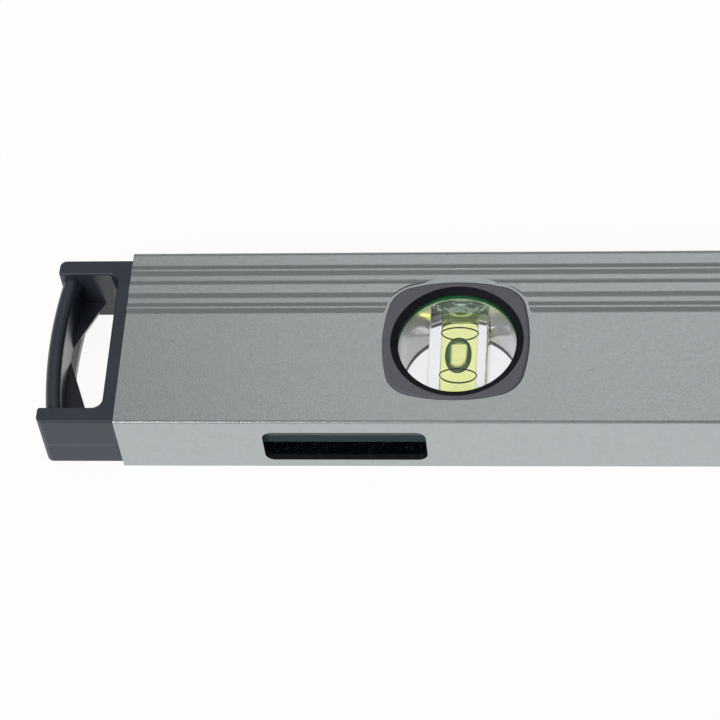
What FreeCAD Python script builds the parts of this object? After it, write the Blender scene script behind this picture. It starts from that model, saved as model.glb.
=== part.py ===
"""Box-section spirit level, 600 mm long, lying on its back as it would on a bench.

Row frame: +X along the level, +Y from the measuring face to the ribbed edge, +Z out of the
front face. The origin is under the middle of the level, on the surface that it lies on.
All lengths are in millimetres.
"""
import FreeCAD, Part
import math
import os

import Sketcher

V = FreeCAD.Vector


class Size:
    """A number kept together with the sheet formula that gives it."""

    def __init__(self, value, text):
        self.value = float(value)
        self.text = text

    def _join(self, sign, other, result):
        other_text = other.text if isinstance(other, Size) else repr(other)
        return Size(result, f"({self.text} {sign} {other_text})")

    def __add__(self, other):
        return self._join("+", other, self.value + number(other))

    def __sub__(self, other):
        return self._join("-", other, self.value - number(other))

    def __mul__(self, other):
        return self._join("*", other, self.value * number(other))

    def __truediv__(self, other):
        return self._join("/", other, self.value / number(other))

    def __neg__(self):
        return Size(-self.value, f"(-1 * {self.text})")


def number(size):
    """The plain value of a size or of a number."""
    return size.value if isinstance(size, Size) else float(size)


# Driving dimensions: alias, value, what it is
DIMENSIONS = [
    ("profile_length", 556.0, "aluminium profile, cut length"),
    ("profile_height", 60.0, "measuring face to ribbed edge"),
    ("profile_depth", 22.65, "front face to back face, without the ribs"),
    ("wall", 1.9, "profile wall"),
    ("base_edge_radius", 0.8, "edges of the measuring face"),
    ("top_edge_radius", 2.0, "edges of the ribbed side"),
    ("rib_height", 0.36, "ribs above the front and back face"),
    ("rib_band_offset", 16.0, "middle rib above the level's mid height"),
    ("rib_pitch", 6.65, "middle rib to side rib"),
    ("rib_slope", 1.6, "width of a rib's flank"),
    ("mid_rib_land", 3.0, "flat top of the middle rib"),
    ("side_rib_land", 0.6, "flat top of a side rib"),
    ("rib_edge_radius", 1.1, "rounding where a flank meets a land"),
    ("rib_foot_radius", 2.2, "rounding where a flank meets the profile face"),
    ("window_inset", 95.4, "profile end to the axis of its window"),
    ("window_drop", 2.6, "window axis below mid height"),
    ("window_radius", 19.25, "round cut-out in both profile walls"),
    ("relief_radius", 23.1, "round relief milled in the ribs about a window"),
    ("relief_border", 1.0, "relief beyond the window frame"),
    ("seat_depth", 0.45, "seat of the window frame below the profile face"),
    ("seat_gap", 0.1, "window frame to the walls of its seat"),
    ("frame_half_width", 20.8, "window frame, half its width"),
    ("frame_half_height", 20.25, "window frame, half its height"),
    ("frame_side_radius", 50.0, "bow of the window frame's sides"),
    ("frame_corner_radius", 9.0, "corners of the window frame"),
    ("frame_shift_out", 0.35, "frame outline towards the profile end"),
    ("frame_shift_up", 0.4, "frame outline towards the ribbed edge"),
    ("frame_proud", 0.6, "frame face above the profile face"),
    ("frame_edge_radius", 0.9, "rounding of the frame's outer edge"),
    ("ring_outer_radius", 18.83, "outer edge of the funnel ring"),
    ("ring_inner_radius", 16.72, "clear opening of the window"),
    ("ring_drop", 1.02, "depth of the funnel ring"),
    ("ring_lip", 0.33, "straight lip below the funnel ring"),
    ("sleeve_wall", 1.2, "wall of the sleeve behind the frame"),
    ("sleeve_length", 3.0, "sleeve behind the profile face"),
    ("sleeve_gap", 0.15, "sleeve to profile and lens to sleeve"),
    ("lens_thickness", 1.5, "clear window lens"),
    ("tunnel_radius", 16.8, "bore of the light tunnel"),
    ("rail_wall", 1.3, "walls that hold the vial block"),
    ("block_width", 16.4, "clear vial block across the barrel"),
    ("block_depth", 16.2, "clear vial block, front to back"),
    ("block_gap", 0.12, "vial block to its holder"),
    ("plumb_block_length", 37.0, "vial block of an end vial"),
    ("housing_end_wall", 2.8, "centre housing at the ends of its vial block"),
    ("rail_clearance", 0.9, "vial holder above the magnet carrier"),
    ("barrel_radius", 5.0, "bore that holds the liquid"),
    ("barrel_end_wall", 3.4, "solid end of the block behind the barrel"),
    ("plug_length", 4.6, "plug, from its outer face to the liquid"),
    ("plug_radius", 7.2, "flange of the plug"),
    ("plug_flange", 1.6, "thickness of the flange"),
    ("plug_gap", 0.05, "plug to its seat"),
    ("plug_cup_radius", 6.2, "mouth of the cup in the plug's outer face"),
    ("plug_cup_floor", 3.2, "floor of the cup, its radius"),
    ("plug_cup_depth", 2.6, "depth of the cup"),
    ("plug_boss_radius", 1.8, "foot of the boss in the cup"),
    ("plug_boss_tip", 1.0, "tip of the boss, its radius"),
    ("plug_boss_height", 1.3, "height of the boss"),
    ("marker_spacing", 14.1, "between the two reading marks, end vials"),
    ("centre_marker_spacing", 15.0, "between the two reading marks, centre vial"),
    ("marker_width", 0.45, "width of a reading mark"),
    ("marker_thickness", 0.12, "depth of the groove that holds a mark"),
    ("bubble_length", 11.9, "bubble along the barrel"),
    ("bubble_width", 7.35, "bubble across the barrel"),
    ("bubble_height", 1.9, "half height of the uncut bubble"),
    ("bubble_rise", 3.1, "bubble middle above the barrel axis"),
    ("bubble_film", 0.15, "liquid film between bubble and barrel"),
    ("bubble_gap", 0.05, "bubble to the hollow that it leaves in the liquid"),
    ("bubble_offset", -1.6, "bubble of an end vial, from the marks' middle"),
    ("slot_length", 46.0, "magnet slot along the measuring face"),
    ("slot_width", 13.7, "magnet slot across the measuring face"),
    ("slot_corner_radius", 2.8, "corners of the magnet slot"),
    ("slot_inset", 64.3, "profile end to the middle of its slot"),
    ("slot_shift", 0.65, "slot middle behind the mid depth"),
    ("carrier_length", 52.0, "magnet carrier along the level"),
    ("carrier_thickness", 6.0, "magnet carrier behind the wall"),
    ("carrier_gap", 0.15, "carrier to the front and back walls"),
    ("magnet_length", 47.0, "magnet bar"),
    ("magnet_width", 9.6, "magnet bar across"),
    ("magnet_thickness", 4.5, "magnet bar into the carrier"),
    ("magnet_shift", 2.1, "magnet middle behind the slot's middle"),
    ("magnet_gap", 0.05, "magnet to its pocket"),
    ("notch_length", 52.0, "centre vial notch along the top edge"),
    ("notch_depth", 24.0, "centre vial notch below the top edge"),
    ("notch_gap", 0.1, "centre housing to the notch"),
    ("flange_border", 1.6, "centre housing flange beyond the notch"),
    ("flange_proud", 0.5, "flange above the profile face"),
    ("flange_corner_radius", 3.0, "lower corners of the flange"),
    ("flange_clearance", 1.2, "milled seat beyond the flange"),
    ("sight_length", 40.0, "sight opening of the centre housing"),
    ("sight_height", 13.0, "sight opening, front to back, up the level"),
    ("sight_corner_radius", 2.5, "corners of the sight openings"),
    ("top_sight_width", 13.4, "sight opening in the top edge"),
    ("housing_roof", 1.6, "housing above the centre vial block"),
    ("cap_reach", 21.8, "end cap beyond the profile"),
    ("cap_toe", 0.7, "extra reach of the cap at the measuring face"),
    ("cap_inset", 1.75, "end cap inside the profile's two narrow sides"),
    ("cap_shift", 0.5, "end cap towards the measuring face"),
    ("cap_front_inset", 1.3, "end cap behind the profile's front face"),
    ("cap_back_inset", 0.45, "end cap before the profile's back face"),
    ("cap_edge_radius", 0.8, "long outer edges of the cap"),
    ("cap_corner_radius", 2.0, "upright corners of the cap"),
    ("cap_bar", 5.0, "cap bars above and below the hand hole"),
    ("cap_upright", 4.1, "cap wall against the profile"),
    ("hole_corner_radius", 3.0, "inner corners of the hand hole"),
    ("hole_edge_radius", 0.8, "front and back edges of the hand hole"),
    ("grip_width", 4.4, "grip bar across"),
    ("grip_radius", 150.0, "bow of the grip bar"),
    ("grip_overhang", 0.6, "grip bar beyond the cap ends, at the middle"),
    ("grip_front_drop", 1.9, "grip bar behind the cap's front face"),
    ("grip_back_drop", 0.4, "grip bar before the cap's back face"),
    ("grip_back_round", 1.0, "rounded back of the grip bar"),
    ("web_top", 6.8, "front face of the webs above the cap's back face"),
    ("upper_web_spread", 11.85, "upper web from the cap's end along its bar"),
    ("lower_web_spread", 13.15, "lower web from the cap's end along its bar"),
    ("upper_web_slope", 0.475, "run of the upper web's edge for each mm along the grip"),
    ("lower_web_slope", 0.371, "run of the lower web's edge for each mm along the grip"),
    ("web_recede", 3.2, "web narrower at its back by this much"),
    ("heel_width", 1.0, "foot of the grip bar inside the hand hole"),
    ("heel_height", 3.2, "slope of the foot below the webs' front face"),
    ("spigot_length", 16.0, "cap inside the profile"),
    ("spigot_gap", 0.12, "spigot to the profile's inner walls"),
    ("spigot_wall", 2.2, "wall of the hollow spigot"),
]


def make_sheet(doc):
    """Write the driving dimensions to the sheet and give back the sizes by name."""
    sheet = doc.addObject("Spreadsheet::Sheet", "Sizes")
    sizes = {}
    for row, (alias, value, meaning) in enumerate(DIMENSIONS, start=1):
        sheet.set(f"A{row}", meaning)
        sheet.set(f"B{row}", str(value))
        sheet.setAlias(f"B{row}", alias)
        sizes[alias] = Size(value, f"Sizes.{alias}")
    doc.recompute()
    return sizes


doc = FreeCAD.newDocument("spirit_level")
SIZES = make_sheet(doc)
subparts = []


def size(alias):
    """A driving dimension by its name."""
    return SIZES[alias]


def bind(item, prop, value):
    """Set a property from a size, through its formula, or from a plain number."""
    if isinstance(value, Size):
        item.setExpression(prop, value.text)
    else:
        setattr(item, prop, value)


# Turns, each an axis and an angle in degrees
NO_TURN = ((0, 0, 1), 0)
UP_THE_LEVEL = ((0, 0, 1), 90)
FRONT_TO_BACK = ((0, 1, 0), 180)
ALONG_X = ((0, 1, 0), 90)


def put(item, at, turn):
    """Turn an item and put its origin at x, y, z, each a formula of the sizes or zero."""
    axis, angle = turn
    item.Placement = FreeCAD.Placement(V(0, 0, 0), FreeCAD.Rotation(V(*axis), angle))
    for letter, value in zip("xyz", at):
        if isinstance(value, Size):
            item.setExpression(f"Placement.Base.{letter}", value.text)


def finish(item, label, at=(0, 0, 0), turn=NO_TURN):
    """Name a sub-part and put it in its place."""
    item.Label = label
    put(item, at, turn)
    subparts.append(item)
    return item


def body_named(label):
    return doc.addObject("PartDesign::Body", label.title().replace("_", ""))


def plane_of(body, role):
    return [plane for plane in body.Origin.OriginFeatures if plane.Role == role][0]


def sketch_on(body, role, name, lift=0):
    """A sketch on one of the body's own origin planes, lifted along the plane's normal."""
    sketch = body.newObject("Sketcher::SketchObject", name)
    sketch.AttachmentSupport = [(plane_of(body, role), "")]
    sketch.MapMode = "FlatFace"
    if isinstance(lift, Size):
        sketch.setExpression("AttachmentOffset.Base.z", lift.text)
    return sketch


def fix(sketch, kind, places, value):
    """Add a constraint whose value follows a size."""
    index = sketch.addConstraint(Sketcher.Constraint(kind, *places, number(value)))
    if isinstance(value, Size):
        sketch.setExpression(f"Constraints[{index}]", value.text)


def fix_point(sketch, geometry, vertex, x, y):
    """Hold a sketch point at x, y from the sketch's origin."""
    fix(sketch, "DistanceX", (-1, 1, geometry, vertex), x)
    fix(sketch, "DistanceY", (-1, 1, geometry, vertex), y)


def polygon(sketch, points):
    """A closed outline of straight lines through the given points."""
    spots = [V(number(x), number(y), 0) for x, y in points]
    first = sketch.GeometryCount
    count = len(points)
    for i in range(count):
        sketch.addGeometry(Part.LineSegment(spots[i], spots[(i + 1) % count]), False)
    for i in range(count):
        following = first + (i + 1) % count
        sketch.addConstraint(Sketcher.Constraint("Coincident", first + i, 2, following, 1))
    for i, (x, y) in enumerate(points):
        fix_point(sketch, first + i, 1, x, y)


def rectangle(sketch, low_x, low_y, high_x, high_y):
    polygon(sketch, [(low_x, low_y), (high_x, low_y), (high_x, high_y), (low_x, high_y)])


def circle(sketch, x, y, radius):
    where = V(number(x), number(y), 0)
    index = sketch.addGeometry(Part.Circle(where, V(0, 0, 1), number(radius)), False)
    fix_point(sketch, index, 3, x, y)
    fix(sketch, "Radius", (index,), radius)


def arc(sketch, x, y, radius, low, high):
    """An arc about x, y from one angle to another, in radians."""
    ring = Part.Circle(V(number(x), number(y), 0), V(0, 0, 1), number(radius))
    return sketch.addGeometry(Part.ArcOfCircle(ring, low, high), False)


def meeting_of_circles(left, below, radius):
    """Where a circle about (-left, 0) meets an equal one about (0, -below), up and right."""
    half_way = math.hypot(left, below) / 2
    rise = math.sqrt(radius ** 2 - half_way ** 2)
    x = rise * below / (2 * half_way) - left / 2
    y = rise * left / (2 * half_way) - below / 2
    return x, y


def bowed_square(sketch, x, y, half_width, half_height, bow, corner):
    """A square with bowed sides and round corners: eight arcs, each tangent to the next."""
    back_x = bow - half_width
    back_y = bow - half_height
    corner_x, corner_y = meeting_of_circles(number(back_x), number(back_y), number(bow - corner))
    right_lean = math.atan2(corner_y, corner_x + number(back_x))
    top_lean = math.atan2(corner_x, corner_y + number(back_y))
    quarter = math.pi / 2

    # Each side with the middle of its arc, half its angle and the corner that follows it
    sides = [
        (x - back_x, y, right_lean, 1, 1),
        (x, y - back_y, top_lean, -1, 1),
        (x + back_x, y, right_lean, -1, -1),
        (x, y + back_y, top_lean, 1, -1),
    ]
    first = sketch.GeometryCount
    for i, (side_x, side_y, lean, corner_right, corner_up) in enumerate(sides):
        facing = quarter * i
        next_lean = sides[(i + 1) % 4][2]
        bend_x = number(x) + corner_x * corner_right
        bend_y = number(y) + corner_y * corner_up
        side = arc(sketch, side_x, side_y, bow, facing - lean, facing + lean)
        bend = arc(sketch, bend_x, bend_y, corner, facing + lean, facing + quarter - next_lean)
        fix_point(sketch, side, 3, side_x, side_y)
        fix(sketch, "Radius", (side,), bow)
        fix(sketch, "Radius", (bend,), corner)
    for i in range(8):
        following = first + (i + 1) % 8
        sketch.addConstraint(Sketcher.Constraint("Tangent", first + i, 2, following, 1))


def pad(body, sketch, length, name, both=False, back=False):
    """Pad a sketch by a length, to both sides of it or against its normal where asked."""
    item = body.newObject("PartDesign::Pad", name)
    item.Profile = sketch
    bind(item, "Length", length)
    item.Midplane = both
    item.Reversed = back
    doc.recompute()
    return item


def pocket(body, sketch, name, length=None, back=False, both=False):
    """Cut a sketch out of the body and make sure that something was cut."""
    before = body.Shape.Volume
    item = body.newObject("PartDesign::Pocket", name)
    item.Profile = sketch
    if length is None:
        item.Type = "ThroughAll"
        item.Midplane = True
    else:
        bind(item, "Length", length)
        item.Midplane = both
    item.Reversed = back
    doc.recompute()
    if not body.Shape.Volume < before - 1e-3:
        raise RuntimeError(f"{name} cut nothing")
    return item


def edges_where(feature, test):
    """Names of the edges whose middle point and direction pass the test."""
    names = []
    for i, edge in enumerate(feature.Shape.Edges, start=1):
        middle = edge.valueAt((edge.FirstParameter + edge.LastParameter) / 2)
        ends = edge.valueAt(edge.LastParameter) - edge.valueAt(edge.FirstParameter)
        if test(middle, ends, edge):
            names.append(f"Edge{i}")
    return names


def along(ends, axis):
    """Whether an edge runs along X, Y or Z, given as 0, 1 or 2."""
    rest = [abs(ends[i]) for i in range(3) if i != axis]
    return abs(ends[axis]) > 1e-3 and max(rest) < 1e-4


def near(first, second, slack=1e-3):
    return abs(first - number(second)) < slack


def fillet(body, base, radius, name, test):
    item = body.newObject("PartDesign::Fillet", name)
    item.Base = (base, edges_where(base, test))
    bind(item, "Radius", radius)
    doc.recompute()
    return item


# Places that several pieces share, in the row frame
half_length = size("profile_length") / 2
half_height = size("profile_height") / 2
half_depth = size("profile_depth") / 2
mid_depth = half_depth + size("frame_proud")
window_place = half_length - size("window_inset")
window_level = -size("window_drop")
slot_place = half_length - size("slot_inset")
notch_floor = half_height - size("notch_depth")
block_half_width = size("block_width") / 2
block_half_depth = size("block_depth") / 2
rail_stack = size("rail_wall") + size("block_gap")
carrier_top = size("wall") + size("carrier_thickness") - half_height
vial_level = carrier_top + size("rail_clearance") + rail_stack + size("plumb_block_length") / 2
centre_block_length = (
    size("notch_length") - (size("notch_gap") + size("housing_end_wall") + size("block_gap")) * 2
)
sleeve_radius = size("window_radius") - size("sleeve_gap")
seat_radius = sleeve_radius - size("sleeve_wall")
lens_radius = seat_radius - size("sleeve_gap")
lens_top = size("frame_proud") - size("ring_drop") - size("ring_lip")
centre_block_level = (
    half_height - size("housing_roof") - block_half_width - size("block_gap")
)


def rib_section(sketch, middle, land, face, outward):
    """One trapezoid rib on a face; outward is 1 for the front and -1 for the back."""
    root = face - size("wall") / 4 * outward
    crest = face + size("rib_height") * outward
    foot_half = land / 2 + size("rib_slope")
    polygon(sketch, [
        (middle - foot_half, root),
        (middle + foot_half, root),
        (middle + foot_half, face),
        (middle + land / 2, crest),
        (middle - land / 2, crest),
        (middle - foot_half, face),
    ])


def make_profile():
    """Hollow extrusion with three ribs along each face, windows, notch and magnet slots."""
    body = body_named("profile")
    wall = size("wall")
    section = sketch_on(body, "YZ_Plane", "ProfileSection")
    rectangle(section, -half_height, -half_depth, half_height, half_depth)
    rectangle(
        section, wall - half_height, wall - half_depth, half_height - wall, half_depth - wall
    )
    tube = pad(body, section, size("profile_length"), "ProfileTube", both=True)

    def long_outer(level):
        def test(middle, ends, edge):
            outer = near(abs(middle.z), half_depth)
            return along(ends, 0) and outer and near(middle.y, level)
        return test

    tube = fillet(body, tube, size("top_edge_radius"), "RibbedEdges", long_outer(half_height))
    tube = fillet(body, tube, size("base_edge_radius"), "BaseEdges", long_outer(-half_height))

    ribs = sketch_on(body, "YZ_Plane", "RibSection")
    band = size("rib_band_offset")
    pitch = size("rib_pitch")
    for face, outward in ((half_depth, 1), (-half_depth, -1)):
        rib_section(ribs, band, size("mid_rib_land"), face, outward)
        rib_section(ribs, band - pitch, size("side_rib_land"), face, outward)
        rib_section(ribs, band + pitch, size("side_rib_land"), face, outward)
    ribbed = pad(body, ribs, size("profile_length"), "Ribs", both=True)
    crest = half_depth + size("rib_height")
    ribbed = fillet(
        body, ribbed, size("rib_edge_radius"), "RibCrests",
        lambda middle, ends, edge: along(ends, 0) and near(abs(middle.z), crest),
    )
    foot_far = size("rib_pitch") + size("side_rib_land") / 2 + size("rib_slope")

    def rib_foot(middle, ends, edge):
        inside = abs(middle.y - number(band)) < number(foot_far) + 0.01
        return along(ends, 0) and near(abs(middle.z), half_depth) and inside

    fillet(body, ribbed, size("rib_foot_radius"), "RibFeet", rib_foot)

    windows = sketch_on(body, "XY_Plane", "WindowCircles")
    for side in (-1, 1):
        circle(windows, window_place * side, window_level, size("window_radius"))
    pocket(body, windows, "Windows")

    mill_face(body, "Front", half_depth, 1)
    mill_face(body, "Back", -half_depth, -1)
    cut_slots(body)
    return finish(body, "profile", (0, 0, mid_depth))


def mill_face(body, name, face, outward):
    """Mill the ribs away round the windows and the centre vial, and sink the frames' seats."""
    inwards = outward > 0
    above_ribs = size("rib_height") * 2

    reliefs = sketch_on(body, "XY_Plane", name + "ReliefCircles", face)
    borders = sketch_on(body, "XY_Plane", name + "ReliefBorders", face)
    bed = face - size("seat_depth") * outward
    seats = sketch_on(body, "XY_Plane", name + "FrameSeats", bed)
    for side in (-1, 1):
        place = window_place * side
        circle(reliefs, place, window_level, size("relief_radius"))
        frame_outline(borders, side, size("relief_border"), place, window_level)
        frame_outline(seats, side, size("seat_gap"), place, window_level)
    pocket(body, reliefs, name + "Reliefs", above_ribs, back=inwards)
    pocket(body, borders, name + "Borders", above_ribs, back=inwards)
    pocket(body, seats, name + "Seats", size("seat_depth") * 2, back=inwards)

    flange_seat = sketch_on(body, "XY_Plane", name + "FlangeSeatOutline", face)
    border = size("flange_border") + size("flange_clearance")
    half_seat = size("notch_length") / 2 + border
    rectangle(flange_seat, -half_seat, notch_floor - border, half_seat, half_height + 1)
    pocket(body, flange_seat, name + "FlangeSeat", above_ribs, back=inwards)


def cut_slots(body):
    """Cut the notch of the centre vial and the two magnet slots."""
    notch = sketch_on(body, "XY_Plane", "NotchOutline")
    half_notch = size("notch_length") / 2
    rectangle(notch, -half_notch, notch_floor, half_notch, half_height + 1)
    pocket(body, notch, "CentreNotch")

    wall = size("wall")
    slots = sketch_on(body, "XZ_Plane", "SlotOutline", half_height)
    half_slot = size("slot_length") / 2
    low = -size("slot_width") / 2 - size("slot_shift")
    high = size("slot_width") / 2 - size("slot_shift")
    for side in (-1, 1):
        middle = slot_place * side
        rectangle(slots, middle - half_slot, low, middle + half_slot, high)
    slotted = pocket(body, slots, "MagnetSlots", wall * 2 + 1, both=True)

    def slot_corner(middle, ends, edge):
        in_wall = middle.y < -number(half_height) + number(wall)
        within = number(low) - 0.01 < middle.z < number(high) + 0.01
        return along(ends, 1) and in_wall and within and abs(ends.y) < number(wall) + 0.01

    fillet(body, slotted, size("slot_corner_radius"), "SlotCorners", slot_corner)


def frame_outline(sketch, side, border=0, x=0, y=0):
    """Outline of a window frame about x, y, grown by a border."""
    bowed_square(
        sketch, size("frame_shift_out") * side + x, size("frame_shift_up") + y,
        size("frame_half_width") + border, size("frame_half_height") + border,
        size("frame_side_radius"), size("frame_corner_radius") + border,
    )


def make_window_frame(label, side, front):
    """Frame of a window: bowed plate on the profile, funnel ring and sleeve behind it."""
    body = body_named(label)
    proud = size("frame_proud")
    mirrored = side if front else -side
    plate_outline = sketch_on(body, "XY_Plane", label + "_outline", -size("seat_depth"))
    frame_outline(plate_outline, mirrored)
    plate = pad(body, plate_outline, proud + size("seat_depth"), label + "_plate")
    fillet(
        body, plate, size("frame_edge_radius"), label + "_edge",
        lambda middle, ends, edge: near(middle.z, proud),
    )
    sleeve = sketch_on(body, "XY_Plane", label + "_sleeve_outline")
    circle(sleeve, 0, 0, sleeve_radius)
    pad(body, sleeve, size("sleeve_length"), label + "_sleeve", back=True)

    bore = sketch_on(body, "XZ_Plane", label + "_bore_section")
    clear = 1
    polygon(bore, [
        (0, proud + clear),
        (size("ring_outer_radius"), proud + clear),
        (size("ring_outer_radius"), proud),
        (size("ring_inner_radius"), proud - size("ring_drop")),
        (size("ring_inner_radius"), lens_top),
        (seat_radius, lens_top),
        (seat_radius, -size("sleeve_length") - clear),
        (0, -size("sleeve_length") - clear),
    ])
    ring = body.newObject("PartDesign::Groove", label + "_bore")
    ring.Profile = bore
    ring.ReferenceAxis = (bore, ["V_Axis"])
    ring.Angle = 360
    doc.recompute()
    face = half_depth if front else -half_depth
    turn = NO_TURN if front else FRONT_TO_BACK
    return finish(body, label, (window_place * side, window_level, mid_depth + face), turn)


def make_lens(label, side, front):
    """Flat clear disc seated behind the funnel ring."""
    disc = doc.addObject("Part::Cylinder", label)
    bind(disc, "Radius", lens_radius)
    bind(disc, "Height", size("lens_thickness"))
    outer = half_depth + lens_top
    if front:
        level = mid_depth + outer - size("lens_thickness")
    else:
        level = mid_depth - outer
    return finish(disc, label, (window_place * side, window_level, level))


def make_tunnel(label, side):
    """Light tunnel between the two lenses, with rails that hold the vial block."""
    body = body_named(label)
    tube_length = (half_depth + lens_top - size("lens_thickness")) * 2
    rail_depth = size("block_depth") + size("block_gap")
    rise = vial_level - window_level
    pocket_half = block_half_width + size("block_gap")
    pocket_reach = size("plumb_block_length") / 2 + size("block_gap")

    tube = sketch_on(body, "XY_Plane", label + "_tube_outline")
    circle(tube, 0, 0, lens_radius)
    pad(body, tube, tube_length, label + "_tube", both=True)
    rails = sketch_on(body, "XY_Plane", label + "_rail_outline")
    rail_half = pocket_half + size("rail_wall")
    rail_reach = pocket_reach + size("rail_wall")
    rectangle(rails, -rail_half, rise - rail_reach, rail_half, rise + rail_reach)
    pad(body, rails, rail_depth, label + "_rails", both=True)
    bore = sketch_on(body, "XY_Plane", label + "_bore_outline")
    circle(bore, 0, 0, size("tunnel_radius"))
    pocket(body, bore, label + "_bore")
    seat = sketch_on(body, "XY_Plane", label + "_seat_outline")
    open_end = rise + rail_reach + 1
    rectangle(seat, -pocket_half, rise - pocket_reach, pocket_half, open_end)
    pocket(body, seat, label + "_seat", rail_depth, both=True)
    return finish(body, label, (window_place * side, window_level, mid_depth))


def primitive(kind, name, at=(0, 0, 0), turn=NO_TURN, **sizes):
    """A Part primitive with its sizes and place bound to the sheet."""
    item = doc.addObject(kind, name)
    for prop, value in sizes.items():
        bind(item, prop, value)
    put(item, at, turn)
    return item


def cut(name, base, tool):
    item = doc.addObject("Part::Cut", name)
    item.Base = base
    item.Tool = tool
    return item


def fuse(name, shapes):
    item = doc.addObject("Part::MultiFuse", name)
    item.Shapes = shapes
    return item


def barrel_cylinder(name, start, length, radius):
    """A cylinder along the barrel, from start towards the plug."""
    return primitive(
        "Part::Cylinder", name, (start, 0, 0), ALONG_X, Radius=radius, Height=length
    )


def marker_bands(name, spacing, inner, outer):
    """Two narrow bands round the barrel, half the spacing to each side of its middle."""
    width = size("marker_width")
    bands = []
    for end, sign in (("blind", -1), ("plug", 1)):
        start = spacing / 2 * sign - width / 2
        solid = barrel_cylinder(f"{name}_{end}_band", start, width, outer)
        hollow = barrel_cylinder(f"{name}_{end}_bore", start - width, width * 3, inner)
        bands.append(cut(f"{name}_{end}_mark", solid, hollow))
    return bands


def make_vial(prefix, block_length, spacing, offset, place, turn):
    """Vial block, plug, liquid, bubble and reading marks, with the plug at local +X."""
    radius = size("barrel_radius")
    outer_face = block_length / 2
    blind_end = size("barrel_end_wall") - outer_face
    plug_start = outer_face - size("plug_length")
    flange_start = outer_face - size("plug_flange")
    gap = size("plug_gap")
    groove = radius + size("marker_thickness")

    shell = primitive(
        "Part::Box", prefix + "_blank", (-outer_face, -block_half_width, -block_half_depth),
        Length=block_length, Width=size("block_width"), Height=size("block_depth"),
    )
    hollow = fuse(prefix + "_hollow", [
        barrel_cylinder(prefix + "_barrel", blind_end, block_length, radius),
        barrel_cylinder(
            prefix + "_seat", flange_start - gap, size("plug_length"), size("plug_radius") + gap
        ),
        *marker_bands(prefix + "_groove", spacing, radius / 2, groove),
    ])
    finish(cut(prefix + "_block", shell, hollow), prefix + "_vial_block", place, turn)

    stem_and_flange = fuse(prefix + "_plug_blank", [
        barrel_cylinder(prefix + "_stem", plug_start, size("plug_length"), radius - gap),
        barrel_cylinder(
            prefix + "_flange", flange_start, size("plug_flange"), size("plug_radius")
        ),
    ])
    floor = outer_face - size("plug_cup_depth")
    cup = primitive(
        "Part::Cone", prefix + "_cup", (floor, 0, 0), ALONG_X,
        Radius1=size("plug_cup_floor"), Radius2=size("plug_cup_radius"),
        Height=size("plug_cup_depth"),
    )
    boss = primitive(
        "Part::Cone", prefix + "_boss", (floor, 0, 0), ALONG_X,
        Radius1=size("plug_boss_radius"), Radius2=size("plug_boss_tip"),
        Height=size("plug_boss_height"),
    )
    plug = cut(prefix + "_plug", stem_and_flange, cut(prefix + "_cup_ring", cup, boss))
    finish(plug, prefix + "_vial_plug", place, turn)

    bubble = doc.addObject("Part::MultiCommon", prefix + "_bubble")
    bubble.Shapes = bubble_forms(prefix, offset)
    finish(bubble, prefix + "_bubble", place, turn)

    void = doc.addObject("Part::MultiCommon", prefix + "_void")
    void.Shapes = bubble_forms(prefix + "_void", offset, size("bubble_gap"))
    filling = barrel_cylinder(prefix + "_filling", blind_end, plug_start - blind_end, radius)
    finish(cut(prefix + "_liquid", filling, void), prefix + "_liquid", place, turn)

    marks = doc.addObject("Part::Compound", prefix + "_marks")
    marks.Links = marker_bands(prefix + "_ring", spacing, radius, groove)
    finish(marks, prefix + "_reading_marks", place, turn)


def bubble_forms(name, offset, growth=0):
    """Rounded bubble pressed against the top of the barrel: egg and barrel to intersect."""
    egg = primitive(
        "Part::Ellipsoid", name + "_egg", (offset, 0, size("bubble_rise")),
        Radius1=size("bubble_height") + growth,
        Radius2=size("bubble_length") / 2 + growth,
        Radius3=size("bubble_width") / 2 + growth,
    )
    egg.Angle1 = -90
    egg.Angle2 = 90
    egg.Angle3 = 360
    reach = size("bubble_length")
    crown_radius = size("barrel_radius") - size("bubble_film") + growth
    return [egg, barrel_cylinder(name + "_crown", -reach + offset, reach * 2, crown_radius)]


def make_magnet(side_name, side):
    """Magnet bar in its carrier behind the slot in the measuring face."""
    thickness = size("carrier_thickness")
    face = size("wall") - half_height
    depth = half_depth - size("wall") - size("carrier_gap")
    carrier_blank = primitive(
        "Part::Box", side_name + "_carrier_blank",
        (-size("carrier_length") / 2, 0, -depth),
        Length=size("carrier_length"), Width=thickness, Height=depth * 2,
    )
    middle = -size("slot_shift") - size("magnet_shift")
    half_long = size("magnet_length") / 2
    half_wide = size("magnet_width") / 2
    gap = size("magnet_gap")
    seat = primitive(
        "Part::Box", side_name + "_magnet_seat",
        (-half_long - gap, -gap, middle - half_wide - gap),
        Length=(half_long + gap) * 2, Width=size("magnet_thickness") + gap,
        Height=(half_wide + gap) * 2,
    )
    place = (slot_place * side, face, mid_depth)
    finish(cut(side_name + "_carrier", carrier_blank, seat), side_name + "_magnet_carrier", place)
    bar = primitive(
        "Part::Box", side_name + "_magnet_bar",
        Length=size("magnet_length"), Width=size("magnet_thickness"),
        Height=size("magnet_width"),
    )
    corner = (slot_place * side - half_long, face, mid_depth + middle - half_wide)
    finish(bar, side_name + "_magnet", corner)


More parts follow.
